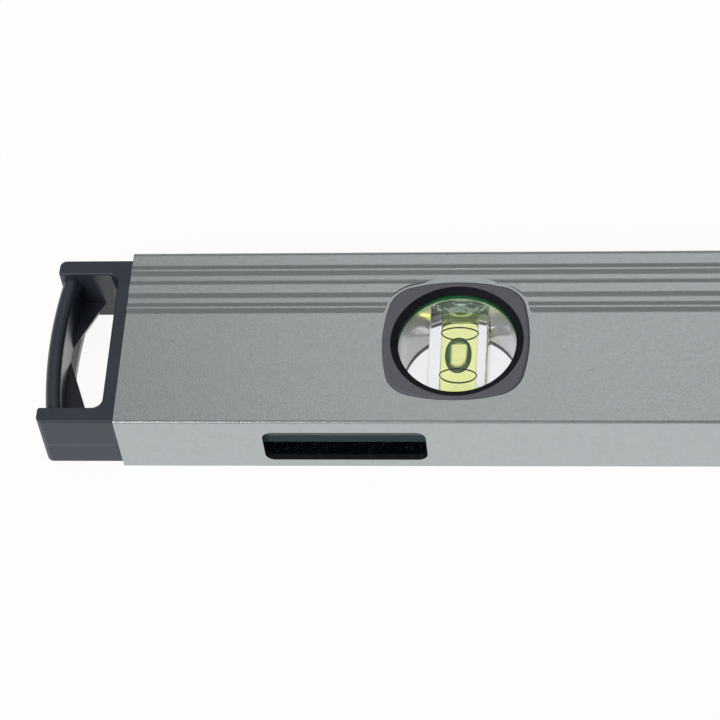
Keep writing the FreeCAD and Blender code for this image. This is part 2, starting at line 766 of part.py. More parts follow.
def make_centre_housing():
    """Moulded housing in the top notch, open to the front, the back and the top."""
    body = body_named("centre_housing")
    gap = size("notch_gap")
    half_long = size("notch_length") / 2 - gap
    outline = sketch_on(body, "XY_Plane", "HousingOutline")
    rectangle(outline, -half_long, notch_floor + gap, half_long, half_height)
    pad(body, outline, half_depth * 2, "HousingBody", both=True)

    flange_half = size("notch_length") / 2 + size("flange_border")
    flange_low = notch_floor - size("flange_border")
    proud = size("flange_proud")
    for name, face, back in (("Front", half_depth, False), ("Back", -half_depth, True)):
        flange = sketch_on(body, "XY_Plane", name + "FlangeOutline", face)
        rectangle(flange, -flange_half, flange_low, flange_half, half_height)
        base = pad(body, flange, proud, name + "Flange", back=back)
        outward = -1 if back else 1

        def low_corner(middle, ends, edge):
            at_end = near(abs(middle.x), flange_half) and near(middle.y, flange_low)
            return along(ends, 2) and at_end and middle.z * outward > 0

        fillet(body, base, size("flange_corner_radius"), name + "FlangeCorners", low_corner)

    sight = sketch_on(body, "XY_Plane", "SightOutline")
    half_sight = size("sight_length") / 2
    sight_low = centre_block_level - size("sight_height") / 2
    rectangle(sight, -half_sight, sight_low, half_sight, sight_low + size("sight_height"))
    sighted = pocket(body, sight, "SightOpenings")
    sight_edge = size("sight_height") / 2

    def sight_corner(middle, ends, edge):
        at_level = near(abs(middle.y - number(centre_block_level)), sight_edge)
        return along(ends, 2) and near(abs(middle.x), half_sight) and at_level

    fillet(body, sighted, size("sight_corner_radius"), "SightCorners", sight_corner)

    chamber = sketch_on(body, "XZ_Plane", "ChamberOutline", -half_height)
    half_chamber = centre_block_length / 2 + size("block_gap")
    half_deep = block_half_depth + size("block_gap")
    rectangle(chamber, -half_chamber, -half_deep, half_chamber, half_deep)
    chamber_depth = size("housing_roof") + size("block_width") + size("block_gap") * 2
    pocket(body, chamber, "VialChamber", chamber_depth, back=True)
    return finish(body, "centre_vial_housing", (0, 0, mid_depth))


def make_end_caps():
    """Moulded end cap with a hand hole, a bowed grip bar and webs, and its mirror image."""
    label = "end_cap_left"
    body = body_named(label)
    reach = size("cap_reach")
    toe = reach + size("cap_toe")
    middle_y = -size("cap_shift")
    half_tall = half_height - size("cap_inset")
    front = half_depth - size("cap_front_inset")
    rear = size("cap_back_inset") - half_depth
    hole_half = half_tall - size("cap_bar")
    slack = 0.01

    block = sketch_on(body, "XY_Plane", label + "_outline", rear)
    polygon(block, [
        (-toe, middle_y - half_tall),
        (0, middle_y - half_tall),
        (0, middle_y + half_tall),
        (-reach, middle_y + half_tall),
    ])
    blank = pad(body, block, front - rear, label + "_block")

    def outer_corner(middle, ends, edge):
        return along(ends, 2) and middle.x < -number(reach) + slack

    def long_edge(middle, ends, edge):
        on_face = near(middle.z, front) or near(middle.z, rear)
        return on_face and middle.x < -slack

    blank = fillet(body, blank, size("cap_corner_radius"), label + "_corners", outer_corner)
    blank = fillet(body, blank, size("cap_edge_radius"), label + "_edges", long_edge)
    hole = sketch_on(body, "XY_Plane", label + "_hole_outline")
    rectangle(
        hole, -toe - 1, middle_y - hole_half, -size("cap_upright"), middle_y + hole_half
    )
    holed = pocket(body, hole, label + "_hole")

    def hole_corner(middle, ends, edge):
        return along(ends, 2) and near(middle.x, -size("cap_upright"))

    def hole_rim(middle, ends, edge):
        inside = abs(middle.y - number(middle_y)) < number(hole_half) + slack
        return long_edge(middle, ends, edge) and inside

    holed = fillet(body, holed, size("hole_corner_radius"), label + "_hole_corners", hole_corner)
    fillet(body, holed, size("hole_edge_radius"), label + "_hole_edges", hole_rim)

    add_grip(body, label, middle_y, front, rear, hole_half)
    add_spigot(body, label)
    finish(body, label, (-half_length, 0, mid_depth))

    mirrored = doc.addObject("Part::Mirroring", "EndCapRight")
    mirrored.Source = body
    mirrored.Normal = V(1, 0, 0)
    finish(mirrored, "end_cap_right")


def add_grip(body, label, middle_y, front, rear, hole_half):
    """Bowed bar across the mouth of the hand hole, with a tapered web at each end of it."""
    reach = size("cap_reach")
    span = hole_half + size("cap_bar") / 2
    bow = size("grip_radius")
    outer = -reach - size("grip_overhang")
    nose = front - size("grip_front_drop")
    back = rear + size("grip_back_drop")
    web_face = rear + size("web_top")

    section = sketch_on(body, "XZ_Plane", label + "_grip_section")
    grip_section(section, outer, size("grip_width"), back, nose, web_face)
    axis_x = number(outer + bow)
    axis = Part.LineSegment(V(axis_x, -1, 0), V(axis_x, 1, 0))
    line = section.addGeometry(axis, True)
    fix_point(section, line, 1, outer + bow, -1)
    fix_point(section, line, 2, outer + bow, 1)
    bar = body.newObject("PartDesign::Revolution", label + "_grip")
    bar.Profile = section
    bar.ReferenceAxis = (section, ["Axis0"])
    bar.Midplane = True
    bar.setExpression("Angle", f"2 * asin({span.text} / {bow.text})")
    doc.recompute()

    root = outer + size("grip_width") / 2
    for name, sign in (("upper", 1), ("lower", -1)):
        spread = size(name + "_web_spread") - reach
        slope = size(name + "_web_slope")
        outlines = []
        for end, level, corner in (
            ("front", web_face, spread),
            ("back", back, spread - size("web_recede")),
        ):
            outline = sketch_on(body, "XY_Plane", f"{label}_{name}_web_{end}", level)
            run = (corner - root) / slope
            polygon(outline, [
                (root, middle_y + (hole_half - run) * sign),
                (corner, middle_y + hole_half * sign),
                (corner, middle_y + span * sign),
                (root, middle_y + span * sign),
            ])
            outlines.append(outline)
        web = body.newObject("PartDesign::AdditiveLoft", f"{label}_{name}_web")
        web.Profile = outlines[0]
        web.Sections = [outlines[1]]
        web.Ruled = True
        doc.recompute()


def grip_section(sketch, outer, width, rear, front, web_face):
    """Section of the grip bar: round front, straight sides, and a foot towards the hand hole."""
    nose = front - width / 2
    inner = outer + width
    foot = inner + size("heel_width")
    rounding = size("grip_back_round")
    corners = [
        (inner, nose),
        (inner, web_face),
        (foot, web_face - size("heel_height")),
        (foot, rear + rounding),
        (foot - rounding, rear),
        (outer + rounding, rear),
        (outer, rear + rounding),
        (outer, nose),
    ]
    spots = [V(number(x), number(y), 0) for x, y in corners]
    for start, end in ((0, 1), (1, 2), (2, 3), (4, 5), (6, 7)):
        index = sketch.addGeometry(Part.LineSegment(spots[start], spots[end]), False)
        fix_point(sketch, index, 1, *corners[start])
        fix_point(sketch, index, 2, *corners[end])
    quarter = math.pi / 2
    low = rear + rounding
    for x, start_angle, start_at, end_at in (
        (foot - rounding, -quarter, (3, 1), (2, 2)),
        (outer + rounding, -2 * quarter, (4, 1), (3, 2)),
    ):
        bend = arc(sketch, x, low, rounding, start_angle, start_angle + quarter)
        sketch.addConstraint(Sketcher.Constraint("Coincident", bend, 1, *start_at))
        sketch.addConstraint(Sketcher.Constraint("Coincident", bend, 2, *end_at))
        fix(sketch, "Radius", (bend,), rounding)
    crown = arc(sketch, outer + width / 2, nose, width / 2, 0, math.pi)
    sketch.addConstraint(Sketcher.Constraint("Coincident", crown, 1, 0, 1))
    sketch.addConstraint(Sketcher.Constraint("Coincident", crown, 2, 4, 2))
    fix(sketch, "DistanceY", (-1, 1, crown, 3), nose)


def add_spigot(body, label):
    """Hollow spigot that fills the end of the profile."""
    inset = size("wall") + size("spigot_gap")
    half_tall = half_height - inset
    half_deep = half_depth - inset
    wall = size("spigot_wall")
    section = sketch_on(body, "YZ_Plane", label + "_spigot_section")
    rectangle(section, -half_tall, -half_deep, half_tall, half_deep)
    rectangle(section, wall - half_tall, wall - half_deep, half_tall - wall, half_deep - wall)
    pad(body, section, size("spigot_length"), label + "_spigot")


make_profile()
make_end_caps()
for side_name, side in (("left", -1), ("right", 1)):
    make_window_frame(f"window_frame_{side_name}_front", side, True)
    make_window_frame(f"window_frame_{side_name}_back", side, False)
    make_lens(f"window_lens_{side_name}_front", side, True)
    make_lens(f"window_lens_{side_name}_back", side, False)
    make_tunnel(f"light_tunnel_{side_name}", side)
    make_vial(
        f"{side_name}_plumb", size("plumb_block_length"), size("marker_spacing"),
        size("bubble_offset"), (window_place * side, vial_level, mid_depth), UP_THE_LEVEL,
    )
    make_magnet(side_name, side)
make_centre_housing()
make_vial(
    "centre", centre_block_length, size("centre_marker_spacing"),
    0, (0, centre_block_level, mid_depth), NO_TURN,
)
doc.recompute()

for item in doc.Objects:
    if "Invalid" in item.State or "Error" in item.State:
        raise RuntimeError(f"{item.Name} did not build: {item.State}")
for item in subparts:
    if item.Shape.isNull() or not item.Shape.isValid():
        raise RuntimeError(f"{item.Label} has no valid shape")

os.makedirs("parts", exist_ok=True)
for item in subparts:
    item.Shape.exportStep(f"parts/{item.Label}.step")
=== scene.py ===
"""Looks of a box-section spirit level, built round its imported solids."""

import math

import bmesh
import bpy
from bpy.props import FloatProperty, FloatVectorProperty, IntProperty, PointerProperty
from bpy.types import Operator, Panel, PropertyGroup
from mathutils import Matrix, Vector


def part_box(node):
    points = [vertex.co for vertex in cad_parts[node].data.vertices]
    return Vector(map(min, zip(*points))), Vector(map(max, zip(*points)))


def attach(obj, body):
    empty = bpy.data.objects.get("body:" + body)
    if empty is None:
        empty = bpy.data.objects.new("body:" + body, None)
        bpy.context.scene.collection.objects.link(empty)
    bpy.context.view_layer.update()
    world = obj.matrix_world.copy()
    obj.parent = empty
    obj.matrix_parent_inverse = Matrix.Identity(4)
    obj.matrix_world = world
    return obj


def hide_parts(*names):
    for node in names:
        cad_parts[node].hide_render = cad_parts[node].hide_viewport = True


bl_info = {
    "name": "Spirit Level",
    "version": (1, 0, 0),
    "blender": (4, 5, 0),
    "location": "3D View > Sidebar > Spirit Level",
    "description": "Dresses the solids of a box-section spirit level",
    "category": "Object",
}

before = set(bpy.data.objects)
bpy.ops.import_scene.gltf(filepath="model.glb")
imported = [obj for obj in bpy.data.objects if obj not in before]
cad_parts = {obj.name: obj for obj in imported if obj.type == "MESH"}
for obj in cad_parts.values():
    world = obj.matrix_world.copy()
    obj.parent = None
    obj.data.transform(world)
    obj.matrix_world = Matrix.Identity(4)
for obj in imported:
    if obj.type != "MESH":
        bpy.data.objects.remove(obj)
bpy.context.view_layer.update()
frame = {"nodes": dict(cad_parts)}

VIALS = ("left_plumb", "right_plumb", "centre")
SIDES = ("left", "right")
FACES = ("front", "back")
ROOT_BODY = "level"


# Settings

def colour(name, description, default):
    return FloatVectorProperty(
        name=name, description=description, subtype="COLOR", size=3, min=0.0, max=1.0,
        default=default,
    )


def fraction(name, description, default):
    return FloatProperty(
        name=name, description=description, subtype="FACTOR", min=0.0, max=1.0, default=default,
    )


def length(name, description, default):
    return FloatProperty(
        name=name, description=description, unit="LENGTH", subtype="DISTANCE", min=0.0,
        default=default, precision=5,
    )


class MetalSettings(PropertyGroup):
    """Blasted and anodised aluminium of the profile."""
    base: colour("Metal", "Reflectance of the anodised aluminium", (0.448, 0.476, 0.486))
    roughness: fraction("Roughness", "Roughness of the blasted surface", 0.33)
    grain: length("Grain", "Size of the grain left by blasting", 0.00026)
    grain_depth: length("Grain depth", "Height of the grain", 0.00005)


class PlasticSettings(PropertyGroup):
    """Moulded plastics of caps, frames, tunnels and carriers."""
    cap: colour("End caps", "Black plastic of the caps", (0.041, 0.052, 0.073))
    frame: colour("Window frames", "Plastic of the window frames", (0.172, 0.178, 0.200))
    ring: colour("Funnel ring", "Dark ring round each window", (0.008, 0.010, 0.014))
    tunnel: colour("Light tunnel", "Light grey plastic behind the windows", (0.91, 0.91, 0.96))
    tunnel_rim: colour("Tunnel rim", "Green glow on the rim of the tunnel", (0.04, 0.44, 0.13))
    rim_height: length("Rim height", "Height at which the tunnel's glowing rim starts", 0.02065)
    carrier: colour("Magnet carrier", "Blue-grey plastic behind the slots", (0.062, 0.090, 0.100))
    magnet_top: length("Magnet top", "Height up to which a magnet shows above its carrier's lip", 0.0108)
    magnet: colour("Magnet", "Dark coating of the magnet bars", (0.001, 0.0025, 0.004))
    texture: length("Texture", "Size of the moulded texture", 0.0004)
    funnel_radius: length("Funnel radius", "Where the dark ring meets the frame's face", 0.01883)
    opening_radius: length("Opening radius", "Just beyond the wall of a window's opening", 0.0169)
    parting_height: length("Parting line", "Height of the line left by the cap's mould", 0.0099)
    parting_width: length("Parting width", "Width of the line left by the cap's mould", 0.0003)


class VialSettings(PropertyGroup):
    """Clear pieces of the vials and windows."""
    acrylic: colour("Acrylic", "Clear plastic of blocks and lenses", (0.975, 0.98, 0.985))
    acrylic_ior: FloatProperty(
        name="Acrylic refraction", description="Refractive index of the clear plastic",
        min=1.0, max=2.5, default=1.49,
    )
    liquid: colour("Liquid", "Tint of the vial liquid", (0.95, 0.97, 0.42))
    liquid_ior: FloatProperty(
        name="Liquid refraction", description="Refractive index of the liquid",
        min=1.0, max=2.5, default=1.45,
    )
    # Painted shade: the dark outline that refraction gives a bubble, tinted green
    bubble_rim: colour("Bubble rim", "Dark rim of a bubble", (0.022, 0.170, 0.022))
    plug: colour("Plug", "Tint of the plug", (0.84, 0.97, 0.87))
    edge_glow: colour("Edge glow", "Green that the clear plastics show at their edges", (0.02, 0.34, 0.07))
    sheen: fraction("Sheen", "Strength of the sheen on the clear plastics", 0.3)
    setback: length("Plug setback", "How far the plug end of a plumb vial lies inside its solid", 0.0015)
    bubble_outline: FloatProperty(
        name="Bubble outline", description="Power of the bubble's outline, 2 for an ellipse",
        min=1.0, max=12.0, default=2.15,
    )
    bubble_rim_shape: FloatProperty(
        name="Bubble rim", description="Power of the bubble's section, higher for a flatter floor",
        min=1.0, max=12.0, default=2.05,
    )
    marks: colour("Reading marks", "Dark rings round the barrel", (0.004, 0.006, 0.004))
    plug_ratio: FloatProperty(
        name="Plug refraction", description="Refraction of the plug against the block round it",
        min=1.0, max=2.5, default=1.05,
    )
    cup_share: fraction("Cup", "Width of the plug's cup, as a share of the plug", 0.86)
    cup_depth: fraction("Cup depth", "Depth of the cup, as a share of the plug", 0.45)
    flange_share: fraction("Flange", "Thickness of the flange, as a share of the plug", 0.348)
    boss: length("Boss", "Radius of the boss in the cup", 0.0018)
    block_edge: length("Block edge", "Rounding of the clear block's edges", 0.0004)
    wall_gap: length("Wall gap", "Liquid surface inside the reading marks", 0.00002)
    rings: IntProperty(
        name="Segments", description="Steps round the barrel", min=16, max=256, default=96,
    )


class StageSettings(PropertyGroup):
    """Floor, lamps and camera."""
    floor: colour("Floor", "Pale floor", (0.86, 0.86, 0.86))
    sky: fraction("Sky", "Brightness of the surroundings", 0.27)
    back_power: FloatProperty(
        name="Back light", description="Power of the soft light behind the level", unit="POWER",
        min=0.0, default=1.6,
    )
    key_power: FloatProperty(
        name="Key light", description="Power of the soft light in front", unit="POWER",
        min=0.0, default=9.5,
    )
    lens: FloatProperty(
        name="Lens", description="Focal length of the camera in millimetres", min=1.0,
        default=144.45,
    )


# Mesh helpers

GROOVE_STEPS = 6
SMALLEST = 1e-7


def mesh_object(name, bm):
    """A smooth-shaded object from a bmesh."""
    mesh = bpy.data.meshes.new(name)
    bm.normal_update()
    bm.to_mesh(mesh)
    bm.free()
    for face in mesh.polygons:
        face.use_smooth = True
    obj = bpy.data.objects.new(name, mesh)
    bpy.context.scene.collection.objects.link(obj)
    return obj


def cylinder_bmesh(start, end, groove, radius, steps):
    """A closed cylinder along X, with a groove in its first end and a flat second end."""
    profile = [(start, 0.0)]
    for i in range(GROOVE_STEPS + 1):
        depth = groove * (1 - math.sin(math.pi / 2 * i / GROOVE_STEPS))
        profile.append((start + depth, radius - depth))
    profile += [(end, radius), (end, 0.0)]
    return lathe_bmesh(profile, steps)


def lathe_bmesh(profile, steps):
    """Turn (x, radius) points round the X axis into a closed surface."""
    bm = bmesh.new()
    rows = []
    for x, radius in profile:
        if radius < SMALLEST:
            rows.append([bm.verts.new((x, 0.0, 0.0))])
            continue
        row = []
        for i in range(steps):
            angle = 2 * math.pi * i / steps
            row.append(bm.verts.new((x, radius * math.cos(angle), radius * math.sin(angle))))
        rows.append(row)
    for first, second in zip(rows, rows[1:]):
        for i in range(steps):
            corners = [
                first[i % len(first)], first[(i + 1) % len(first)],
                second[(i + 1) % len(second)], second[i % len(second)],
            ]
            distinct = list(dict.fromkeys(corners))
            if len(distinct) > 2:
                bm.faces.new(distinct)
    bmesh.ops.remove_doubles(bm, verts=bm.verts, dist=SMALLEST)
    bmesh.ops.recalc_face_normals(bm, faces=bm.faces)
    return bm


def boolean_difference(obj, cutter):
    """Cut one mesh out of another and remove the cutter."""
    modifier = obj.modifiers.new("Seat", "BOOLEAN")
    modifier.operation = "DIFFERENCE"
    modifier.object = cutter
    graph = bpy.context.evaluated_depsgraph_get()
    result = bpy.data.meshes.new_from_object(obj.evaluated_get(graph))
    obj.modifiers.clear()
    obj.data = result
    bpy.data.objects.remove(cutter)


def shade_by_angle(obj, degrees):
    """Smooth faces, with sharp edges kept past an angle."""
    bm = bmesh.new()
    bm.from_mesh(obj.data)
    limit = math.radians(degrees)
    for face in bm.faces:
        face.smooth = True
    for edge in bm.edges:
        if len(edge.link_faces) == 2:
            edge.smooth = edge.calc_face_angle(0.0) < limit
    bm.to_mesh(obj.data)
    bm.free()


def vial_place(prefix):
    """Matrix of a vial: local X along the barrel towards the plug, local Z towards the front."""
    low, high = (Vector(corner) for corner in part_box(f"{prefix}_vial_block"))
    middle = (low + high) / 2
    along = Vector((1, 0, 0)) if prefix == "centre" else Vector((0, 1, 0))
    up = Vector((0, 0, 1))
    across = up.cross(along)
    turn = Matrix((along, across, up)).transposed().to_4x4()
    return Matrix.Translation(middle) @ turn


def local_box(prefix, piece):
    """Lowest and highest corner of a vial piece in the vial's own axes."""
    back = vial_place(prefix).inverted()
    corners = [back @ Vector(corner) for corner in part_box(f"{prefix}_{piece}")]
    low = Vector(min(c[i] for c in corners) for i in range(3))
    high = Vector(max(c[i] for c in corners) for i in range(3))
    return low, high


def setback(prefix, settings):
    """A vector by which the plug end of a plumb vial lies inside its solid."""
    return Vector((0.0 if prefix == "centre" else settings.setback, 0.0, 0.0))


def plug_box(prefix, settings):
    """Lowest and highest corner of the plug as it is drawn."""
    low, high = local_box(prefix, "vial_plug")
    return low - setback(prefix, settings), high - setback(prefix, settings)


def seat(obj, prefix, nodes, body=ROOT_BODY):
    """Put a vial piece in its place and hide the solids that it stands for."""
    obj.matrix_world = vial_place(prefix)
    bpy.context.view_layer.update()
    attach(obj, body)
    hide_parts(*nodes)


# Material helpers

NOISE_SPAN = (0.3, 0.7)
NOISE_ROUGHNESS = 0.6


def material(name):
    """A new node material with its Principled shader."""
    mat = bpy.data.materials.new(name)
    mat.use_nodes = True
    tree = mat.node_tree
    shader = tree.nodes["Principled BSDF"]
    return mat, tree, shader


def node(tree, kind, **values):
    """A shader node with its settings and its unlinked inputs."""
    item = tree.nodes.new(kind)
    for name, value in values.items():
        if name in item.inputs:
            item.inputs[name].default_value = value
        else:
            setattr(item, name, value)
    return item


def place_coordinates(tree):
    """Coordinates in the level's own frame, in metres."""
    return node(tree, "ShaderNodeTexCoord").outputs["Object"]


def separated(tree, vector):
    """The X, Y and Z outputs of a vector."""
    parts = node(tree, "ShaderNodeSeparateXYZ")
    tree.links.new(vector, parts.inputs[0])
    return parts.outputs


def height_of_point(tree):
    """Z in the level's own frame, in metres."""
    return separated(tree, place_coordinates(tree))["Z"]


def height_of_normal(tree):
    """How far a face looks along Z, from -1 to 1."""
    return separated(tree, node(tree, "ShaderNodeNewGeometry").outputs["Normal"])["Z"]


def calculated(tree, operation, *terms):
    """Result of a Math node whose terms are numbers or other nodes' outputs."""
    item = node(tree, "ShaderNodeMath", operation=operation)
    for socket, term in zip(item.inputs, terms):
        if isinstance(term, float):
            socket.default_value = term
        else:
            tree.links.new(term, socket)
    return item.outputs[0]


def remapped(tree, value, source, target=(0.0, 1.0), curve="LINEAR"):
    """Map a value from one span to another and hold it at the ends."""
    remap = node(tree, "ShaderNodeMapRange", interpolation_type=curve)
    remap.inputs["From Min"].default_value = source[0]
    remap.inputs["From Max"].default_value = source[1]
    remap.inputs["To Min"].default_value = target[0]
    remap.inputs["To Max"].default_value = target[1]
    tree.links.new(value, remap.inputs["Value"])
    return remap.outputs["Result"]


def fine_noise(tree, grain, detail=3.0):
    """Noise whose features are about as large as the grain."""
    noise = node(
        tree, "ShaderNodeTexNoise", Scale=0.5 / grain, Detail=detail, Roughness=NOISE_ROUGHNESS
    )
    tree.links.new(place_coordinates(tree), noise.inputs["Vector"])
    return noise.outputs["Fac"]


def spread(tree, noise, middle, reach):
    """Map a noise value from its usual span to a span round a middle value."""
    return remapped(tree, noise, NOISE_SPAN, (middle - reach, middle + reach))


def add_bump(tree, shader, height, distance):
    """Bend a shader's normal by a height."""
    bump = node(tree, "ShaderNodeBump", Distance=distance)
    tree.links.new(height, bump.inputs["Height"])
    tree.links.new(bump.outputs["Normal"], shader.inputs["Normal"])


def mix_colours(tree, factor, first, second):
    """Mix two colours by another node's output."""
    mix = node(tree, "ShaderNodeMix", data_type="RGBA")
    mix.inputs[6].default_value = (*first, 1.0)
    mix.inputs[7].default_value = (*second, 1.0)
    tree.links.new(factor, mix.inputs[0])
    return mix.outputs[2]


def paint_over(tree, shader, mask, rgb):
    """Colour a shader where a mask is 1, over the base colour that is linked to it."""
    under = shader.inputs["Base Color"].links[0].from_socket
    shown = mix_colours(tree, mask, rgb, rgb)
    tree.links.new(under, shown.node.inputs[6])
    tree.links.new(shown, shader.inputs["Base Color"])


def scaled(rgb, factor):
    """A colour made lighter or darker."""
    return tuple(min(channel * factor, 1.0) for channel in rgb)


def mottled(tree, shader, rgb, patch, amount):
    """Base colour with a faint uneven tone."""
    factor = spread(tree, fine_noise(tree, patch, detail=4.0), 0.5, 0.5)
    tone = mix_colours(tree, factor, scaled(rgb, 1 - amount), scaled(rgb, 1 + amount))
    tree.links.new(tone, shader.inputs["Base Color"])


def blended(tree, factor, first, second):
    """Mix two shaders by a number or by another node's output."""
    blend = node(tree, "ShaderNodeMixShader")
    if isinstance(factor, float):
        blend.inputs[0].default_value = factor
    else:
        tree.links.new(factor, blend.inputs[0])
    tree.links.new(first, blend.inputs[1])
    tree.links.new(second, blend.inputs[2])
    return blend.outputs[0]


def dress(node_name, mat):
    """Give a node of the frame its finish."""
    obj = frame["nodes"][node_name]
    obj.data.materials.clear()
    obj.data.materials.append(mat)


# Masks

CAP_WALL = 0.0045


def profile_depth():
    """Middle and size of the profile along Z."""
    low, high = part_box("profile")
    return (low[2] + high[2]) / 2, high[2] - low[2]


def outer_wall_mask(tree):
    """1 on the outer walls of a cap and 0 inside its hand hole."""
    low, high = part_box("end_cap_left")
    inner = (high[1] - low[1]) / 2 - CAP_WALL
    across = separated(tree, place_coordinates(tree))["Y"]
    return calculated(tree, "GREATER_THAN", calculated(tree, "ABSOLUTE", across), inner)


def parting_line_mask(tree, settings):
    """1 on a thin line along the cap's outer walls."""
    half = settings.parting_width / 2
    line = calculated(tree, "COMPARE", height_of_point(tree), settings.parting_height, half)
    return calculated(tree, "MULTIPLY", line, outer_wall_mask(tree))


def distance_from_window(tree):
    """How far a point lies from the axis of the window on its side of the level."""
    low, high = (Vector(corner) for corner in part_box("window_lens_right_front"))
    axis = (low + high) / 2
    parts = separated(tree, place_coordinates(tree))
    flat = node(tree, "ShaderNodeCombineXYZ")
    tree.links.new(calculated(tree, "ABSOLUTE", parts["X"]), flat.inputs["X"])
    tree.links.new(parts["Y"], flat.inputs["Y"])
    reach = node(tree, "ShaderNodeVectorMath", operation="DISTANCE")
    reach.inputs[1].default_value = (axis.x, axis.y, 0.0)
    tree.links.new(flat.outputs[0], reach.inputs[0])
    return reach.outputs["Value"]


def inward_mask(tree):
    """1 on flat faces that look towards the middle of the level's depth."""
    middle, depth = profile_depth()
    height = calculated(tree, "SUBTRACT", height_of_point(tree), middle)
    outward = calculated(tree, "MULTIPLY", height, height_of_normal(tree))
    return calculated(tree, "LESS_THAN", outward, -depth / 4)


def back_opening_mask(tree, settings):
    """1 on the narrow wall round the opening of a back frame."""
    middle = profile_depth()[0]
    near = calculated(tree, "LESS_THAN", distance_from_window(tree), settings.opening_radius)
    behind = calculated(tree, "LESS_THAN", height_of_point(tree), middle)
    return calculated(tree, "MULTIPLY", near, behind)


def turned_away(tree, span, most):
    """0 where a surface faces the eye, rising to most where it turns away."""
    facing = node(tree, "ShaderNodeLayerWeight", Blend=0.5).outputs["Facing"]
    return remapped(tree, facing, span, (0.0, most), "SMOOTHSTEP")


# Finishes of metal and moulded plastic

METAL_PATCH = 3.0
METAL_MOTTLE = 0.045
METAL_SPREAD = 0.03
CAP_PATCH = 0.004
CAP_MOTTLE = 0.08
CAP_FACING = (0.3, 0.9)
CAP_ROUGHNESS = (0.22, 0.42)
CAP_BUMP = 0.000016
PARTING_TONE = 2.6
RING_BLUR = 0.0001
RING_ROUGHNESS = 0.45
FACE_ROUGHNESS = 0.42
FRAME_SPECULAR = 0.2
FRAME_BUMP = 0.000012
PLASTIC_PATCH = 8.0
PLASTIC_MOTTLE = 0.05
PLASTIC_SPREAD = 0.04
PLASTIC_BUMP = 0.000005
LINER_MOTTLE = 0.02
LINER_BLUR = 0.00005
LINER_METALLIC = 0.35
LINER_WAVE = 0.003
LINER_ROUGHNESS = 0.20
LINER_SPREAD = 0.04
LINER_BUMP = 0.00002
SPECK_SIZE = 0.0002
SPECK_SPAN = (0.62, 0.74)
SPECK_COLOUR = (0.20, 0.22, 0.23)
SPECK_BUMP = 0.00001
MAGNET_ROUGHNESS = 0.45


def blasted_aluminium(settings):
    """Metal with the fine grain that blasting leaves."""
    mat, tree, shader = material("blasted_aluminium")
    shader.inputs["Metallic"].default_value = 1.0
    mottled(tree, shader, settings.base, settings.grain * METAL_PATCH, METAL_MOTTLE)
    grain = fine_noise(tree, settings.grain, detail=2.0)
    rough = spread(tree, grain, settings.roughness, METAL_SPREAD)
    tree.links.new(rough, shader.inputs["Roughness"])
    add_bump(tree, shader, grain, settings.grain_depth)
    return mat


def cap_plastic(settings):
    """Matt outside, polished on the walls of the hand hole, with the mould's parting line."""
    mat, tree, shader = material("cap_plastic")
    mottled(tree, shader, settings.cap, CAP_PATCH, CAP_MOTTLE)
    line = parting_line_mask(tree, settings)
    paint_over(tree, shader, line, scaled(settings.cap, PARTING_TONE))
    facing = calculated(tree, "ABSOLUTE", height_of_normal(tree))
    flat = calculated(tree, "MAXIMUM", facing, outer_wall_mask(tree))
    rough = remapped(tree, flat, CAP_FACING, CAP_ROUGHNESS)
    tree.links.new(rough, shader.inputs["Roughness"])
    add_bump(tree, shader, fine_noise(tree, settings.texture, detail=2.0), CAP_BUMP)
    return mat


def frame_plastic(settings):
    """Satin face with a dark funnel ring; the lip where the lens rests is painted in the tunnel's pale
    colour, as painted light.
    """
    mat, tree, shader = material("frame_plastic")
    border = (settings.funnel_radius - RING_BLUR, settings.funnel_radius + RING_BLUR)
    outside = remapped(tree, distance_from_window(tree), border)
    tone = mix_colours(tree, outside, settings.ring, settings.frame)
    tree.links.new(tone, shader.inputs["Base Color"])
    # Painted light: the inward faces and the back opening's wall take the tunnel's pale colour, so that
    # they look lit
    opening = back_opening_mask(tree, settings)
    pale = calculated(tree, "MAXIMUM", inward_mask(tree), opening)
    paint_over(tree, shader, pale, settings.tunnel)
    rough = remapped(tree, outside, (0.0, 1.0), (RING_ROUGHNESS, FACE_ROUGHNESS))
    tree.links.new(rough, shader.inputs["Roughness"])
    shader.inputs["Specular IOR Level"].default_value = FRAME_SPECULAR
    add_bump(tree, shader, fine_noise(tree, settings.texture), FRAME_BUMP)
    return mat


def matt_plastic(name, rgb, texture, roughness):
    """Plain moulded plastic with a fine texture."""
    mat, tree, shader = material(name)
    mottled(tree, shader, rgb, texture * PLASTIC_PATCH, PLASTIC_MOTTLE)
    grain = fine_noise(tree, texture)
    rough = spread(tree, grain, roughness, PLASTIC_SPREAD)
    tree.links.new(rough, shader.inputs["Roughness"])
    add_bump(tree, shader, grain, PLASTIC_BUMP)
    return mat


def liner_plastic(settings):
    """Bright satin lining with a green glow on its front rim."""
    mat, tree, shader = material("liner_plastic")
    mottled(tree, shader, settings.tunnel, settings.texture * PLASTIC_PATCH, LINER_MOTTLE)
    border = (settings.rim_height - LINER_BLUR, settings.rim_height + LINER_BLUR)
    above = remapped(tree, height_of_point(tree), border)
    paint_over(tree, shader, above, settings.tunnel_rim)
    shader.inputs["Metallic"].default_value = LINER_METALLIC
    wave = fine_noise(tree, LINER_WAVE)
    rough = spread(tree, wave, LINER_ROUGHNESS, LINER_SPREAD)
    tree.links.new(rough, shader.inputs["Roughness"])
    add_bump(tree, shader, wave, LINER_BUMP)
    return mat


def coated_magnet(settings):
    """Dark coating with fine specks, its upper part coloured as the carrier's lip."""
    mat, tree, shader = material("coated_magnet")
    specks = fine_noise(tree, SPECK_SIZE, detail=4.0)
    bright = remapped(tree, specks, SPECK_SPAN)
    tone = mix_colours(tree, bright, settings.magnet, SPECK_COLOUR)
    tree.links.new(tone, shader.inputs["Base Color"])
    lip = calculated(tree, "GREATER_THAN", height_of_point(tree), settings.magnet_top)
    paint_over(tree, shader, lip, settings.carrier)
    shader.inputs["Roughness"].default_value = MAGNET_ROUGHNESS
    shader.inputs["Specular IOR Level"].default_value = 0.0
    add_bump(tree, shader, specks, SPECK_BUMP)
    return mat


